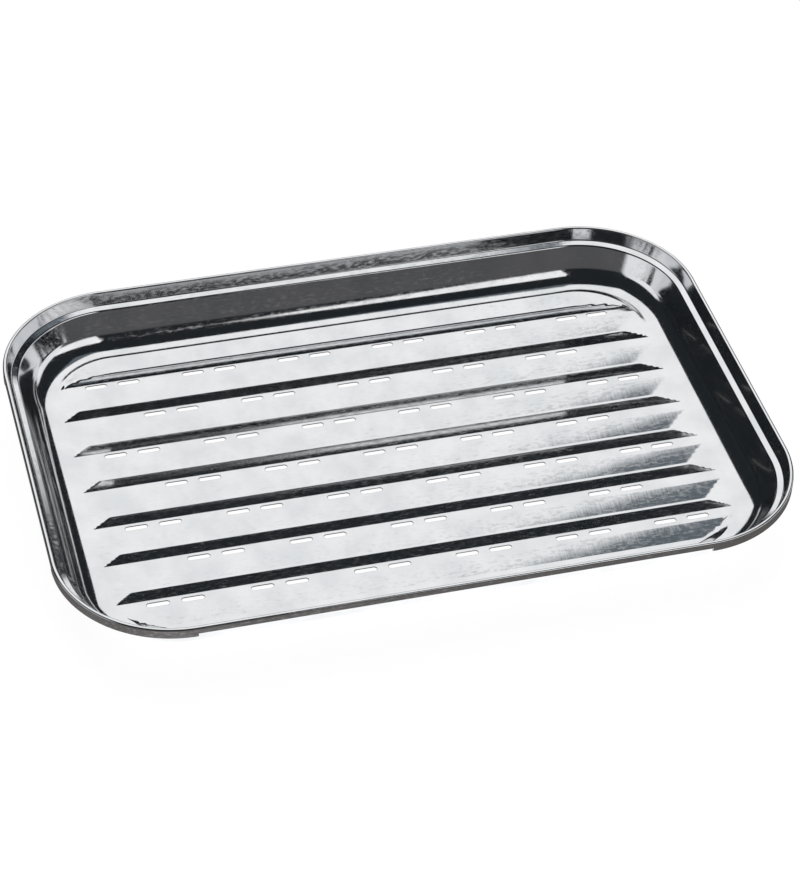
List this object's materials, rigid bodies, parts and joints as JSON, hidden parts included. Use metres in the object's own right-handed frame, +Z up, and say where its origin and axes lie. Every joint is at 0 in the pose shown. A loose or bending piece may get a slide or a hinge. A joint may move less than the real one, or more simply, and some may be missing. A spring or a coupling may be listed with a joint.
{
  "type": "ribbed grill tray",
  "caption": "Shallow rectangular pressed-steel tray with round corners, a rolled rim, sloping walls and a floor of slotted ribs between drain grooves.",
  "frame": {"origin": "on the resting plane, under the centre of the tray", "axes": "+Z up out of the tray, +X along the ribs and the long side, +Y along the short side"},
  "size_m": [0.345, 0.24, 0.0275],
  "materials": {
    "steel": "bright-rolled stainless steel, fine straight grain across the ribs, near-mirror on the walls and rim"
  },
  "bodies": {
    "root": {"border_left": "steel", "border_right": "steel", "floor_edge_back": "steel", "floor_edge_front": "steel", "groove_ends_left": "steel", "groove_ends_right": "steel", "hem_back": "steel", "hem_back_left": "steel", "hem_back_right": "steel", "hem_front": "steel", "hem_front_left": "steel", "hem_front_right": "steel", "hem_left": "steel", "hem_right": "steel", "ledge_back": "steel", "ledge_back_left": "steel", "ledge_back_right": "steel", "ledge_front": "steel", "ledge_front_left": "steel", "ledge_front_right": "steel", "ledge_left": "steel", "ledge_right": "steel", "rib_1": "steel", "rib_2": "steel", "rib_3": "steel", "rib_4": "steel", "rib_5": "steel", "rib_6": "steel", "rib_7": "steel", "wall_back": "steel", "wall_back_left": "steel", "wall_back_right": "steel", "wall_front": "steel", "wall_front_left": "steel", "wall_front_right": "steel", "wall_left": "steel", "wall_right": "steel"}
  },
  "joints": []
}
